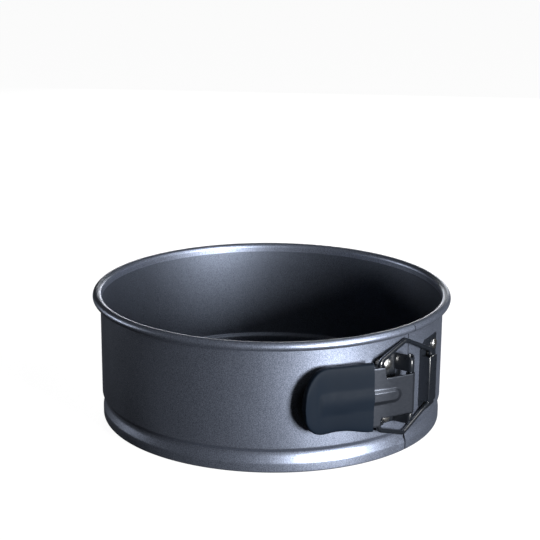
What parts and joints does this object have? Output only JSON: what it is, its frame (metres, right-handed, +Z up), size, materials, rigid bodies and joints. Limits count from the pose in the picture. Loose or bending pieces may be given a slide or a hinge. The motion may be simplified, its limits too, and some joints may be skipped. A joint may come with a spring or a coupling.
{
  "type": "springform pan",
  "caption": "Round springform cake pan with a rolled rim, a loose base disc and an over-centre wire latch with a soft lever grip.",
  "frame": {"origin": "on the pan's axis at table level, under the middle of the base disc", "axes": "+Z up out of the pan's mouth; -Y towards the latch, with the ring's seam 2.3 degrees to its left"},
  "size_m": [0.1892, 0.195, 0.0675],
  "materials": {
    "coated_steel": "satin non-stick",
    "black_steel": "semi-gloss black",
    "dark_steel": "dark satin",
    "bright_steel": "bright",
    "grip_rubber": "matte silicone"
  },
  "bodies": {
    "ring_left": {"band_left": "coated_steel", "base_disc": "coated_steel", "lever_bracket": "black_steel", "bracket_rivets": "bright_steel", "lever_pin": "dark_steel"},
    "ring_right": {"band_right": "coated_steel", "catch_plate": "black_steel", "catch_rivets": "bright_steel"},
    "lever": {"lever": "dark_steel", "lever_grip": "grip_rubber"},
    "bail": {"bail_wire": "black_steel"}
  },
  "joints": [
    {"name": "lever_pivot", "type": "hinge", "parent": "ring_left", "child": "lever", "pos_m": [-0.01241, -0.09822, 0.0357], "axis": [0, 0, 1], "range_deg": [0, 90]},
    {"name": "bail_pivot", "type": "hinge", "parent": "lever", "child": "bail", "pos_m": [-0.02849, -0.09147, 0.0357], "axis": [0, 0, 1], "range_deg": [-56, 0]},
    {"name": "ring_spring", "type": "hinge", "parent": "ring_left", "child": "ring_right", "pos_m": [0, 0.09465, 0.0357], "axis": [0, 0, 1], "range_deg": [0, 0.92]}
  ],
  "couplings": [
    {"joint": "bail_pivot", "follows": "lever_pivot", "ratio": -0.62},
    {"joint": "ring_spring", "follows": "lever_pivot", "ratio": 0.01}
  ]
}
